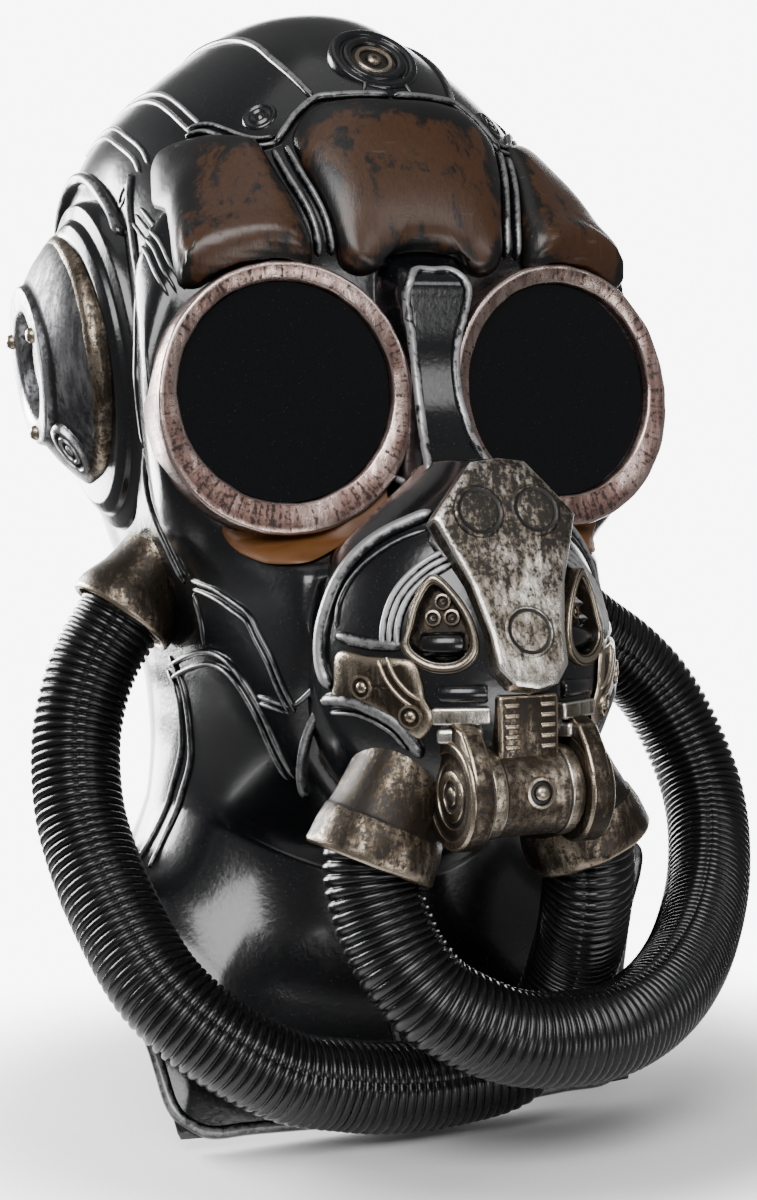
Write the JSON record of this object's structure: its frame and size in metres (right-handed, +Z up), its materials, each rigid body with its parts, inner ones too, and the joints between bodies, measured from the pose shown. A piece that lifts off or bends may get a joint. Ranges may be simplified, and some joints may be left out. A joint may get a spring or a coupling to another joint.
{
  "type": "latex gas mask costume hood",
  "caption": "Full-head latex costume hood in gas mask style: round goggles, padded brow, respirator muzzle, ear housings, crossing ribbed hoses, neck and bib.",
  "frame": {"origin": "inside top of the crown, where the wearer's head carries the hood", "axes": "+Z up, the face looks along -Y, +X towards the wearer's left"},
  "size_m": [0.2885, 0.3019, 0.4105],
  "materials": {
    "latex": "satin black latex",
    "pad": "brown painted latex, mottled",
    "copper": "scratched copper paint",
    "lens": "smoked gloss",
    "steel": "aged silver paint",
    "bronze": "antique bronze paint",
    "hose": "black ribbed, satin"
  },
  "bodies": {
    "root": {"hood": "latex", "muzzle_body": "latex", "brow_pad_centre": "pad", "brow_pad_left": "pad", "brow_pad_right": "pad", "under_eye_pad_left": "pad", "under_eye_pad_right": "pad", "goggle_rim_left": "copper", "goggle_rim_right": "copper", "lens_left": "lens", "lens_right": "lens", "nose_plate": "steel", "ear_housing_left": "steel", "ear_housing_right": "steel", "vent_rim_left": "bronze", "vent_rim_right": "bronze", "jaw_bracket_left": "bronze", "jaw_bracket_right": "bronze", "hinge_barrel": "bronze", "hinge_knuckle_left": "bronze", "hinge_knuckle_right": "bronze", "muzzle_port_left": "bronze", "muzzle_port_right": "bronze", "ear_port_left": "bronze", "ear_port_right": "bronze", "crown_boss": "bronze", "hose_left": "hose", "hose_right": "hose"}
  },
  "joints": []
}
